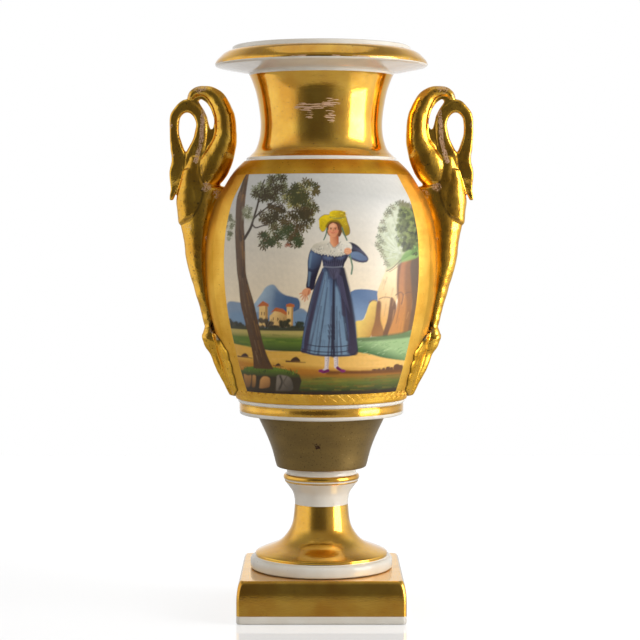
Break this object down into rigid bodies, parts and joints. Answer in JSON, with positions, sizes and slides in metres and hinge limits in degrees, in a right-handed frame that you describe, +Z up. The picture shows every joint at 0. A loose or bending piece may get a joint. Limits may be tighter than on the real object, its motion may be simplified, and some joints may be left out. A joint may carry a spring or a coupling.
{
  "type": "mantel urn",
  "caption": "Hollow gilded porcelain mantel urn with flared rim, swan handles, painted landscape reserve, trumpet foot and square plinth.",
  "frame": {"origin": "middle of the plinth's underside, on the surface that the urn stands on", "axes": "+Z up along the urn's axis; the painted reserve faces -Y; the swan handles are on +X and -X"},
  "size_m": [0.1734, 0.1318, 0.32],
  "materials": {
    "burnished_gold": "burnished gilding over glazed porcelain, with fine pits and wear",
    "matte_gold": "unburnished satin gilding over glazed porcelain",
    "white_glaze": "clear glossy glaze over white porcelain",
    "bronze_gold": "brown satin bronzing over porcelain",
    "painted_glaze": "enamel painting under a soft gloss"
  },
  "bodies": {
    "root": {"plinth": "burnished_gold", "foot": "burnished_gold", "urn_body": "burnished_gold", "handle_left": "burnished_gold", "handle_right": "burnished_gold"}
  },
  "joints": []
}
